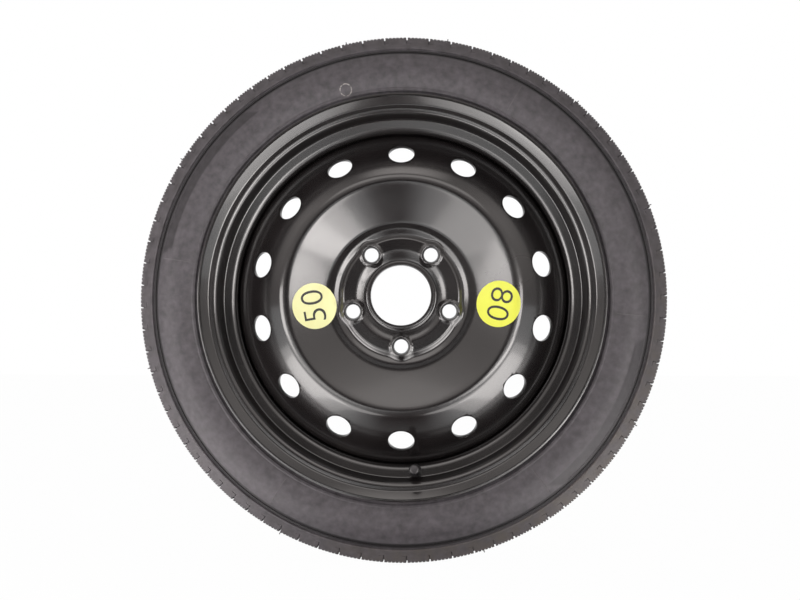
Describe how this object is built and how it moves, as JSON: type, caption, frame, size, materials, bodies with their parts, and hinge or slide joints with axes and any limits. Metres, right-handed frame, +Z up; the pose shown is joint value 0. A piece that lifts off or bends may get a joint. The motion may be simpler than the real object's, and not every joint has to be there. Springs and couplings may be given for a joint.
{
  "type": "space saver spare wheel",
  "caption": "Narrow temporary spare wheel: a steel drop-centre rim with a pressed, vented disc, a slim tyre, a snap-in valve and two round speed labels.",
  "frame": {"origin": "wheel's centre, on its axis in the tyre's centre plane", "axes": "+Y along the wheel's axis towards the car, -Y the street side, +Z up, valve at the bottom"},
  "size_m": [0.5814, 0.1263, 0.5814],
  "materials": {
    "tyre": "matt moulded rubber",
    "black_paint": "gloss black",
    "valve_rubber": "matt",
    "stem_brass": "turned",
    "core_brass": "turned",
    "seal_rubber": "matt",
    "pin_steel": "bright",
    "cap_plastic": "satin black",
    "pale_label": "satin film",
    "bright_label": "satin film"
  },
  "bodies": {
    "wheel": {"tyre": "tyre", "rim": "black_paint", "wheel_disc": "black_paint", "weld_beads": "black_paint", "valve_body": "valve_rubber", "valve_stem": "stem_brass", "core_plug": "core_brass", "core_barrel": "core_brass", "core_gasket": "seal_rubber", "core_spring": "pin_steel", "label_left": "pale_label", "label_right": "bright_label"},
    "valve_pin": {"core_pin": "pin_steel", "core_seal": "seal_rubber"},
    "cap_washer": {"cap_seal": "seal_rubber"},
    "cap": {"valve_cap": "cap_plastic"}
  },
  "joints": [
    {"name": "pin_press", "type": "slide", "parent": "wheel", "child": "valve_pin", "axis": [-0.0109, -0.9903, 0.1387], "range_m": [-0.0012, 0], "stiffness_N_per_m": 2000, "springref_m": 0.001, "deforming": ["core_spring"]},
    {"name": "cap_lift", "type": "slide", "parent": "wheel", "child": "cap_washer", "axis": [-0.0109, -0.9903, 0.1387], "range_m": [0, 0.00476]},
    {"name": "cap_turn", "type": "hinge", "parent": "cap_washer", "child": "cap", "pos_m": [0.01464, -0.06082, -0.18596], "axis": [-0.0109, -0.9903, 0.1387], "range_deg": [0, 2160]}
  ],
  "couplings": [
    {"joint": "cap_turn", "follows": "cap_lift", "rad_per_m": 7913.3}
  ]
}
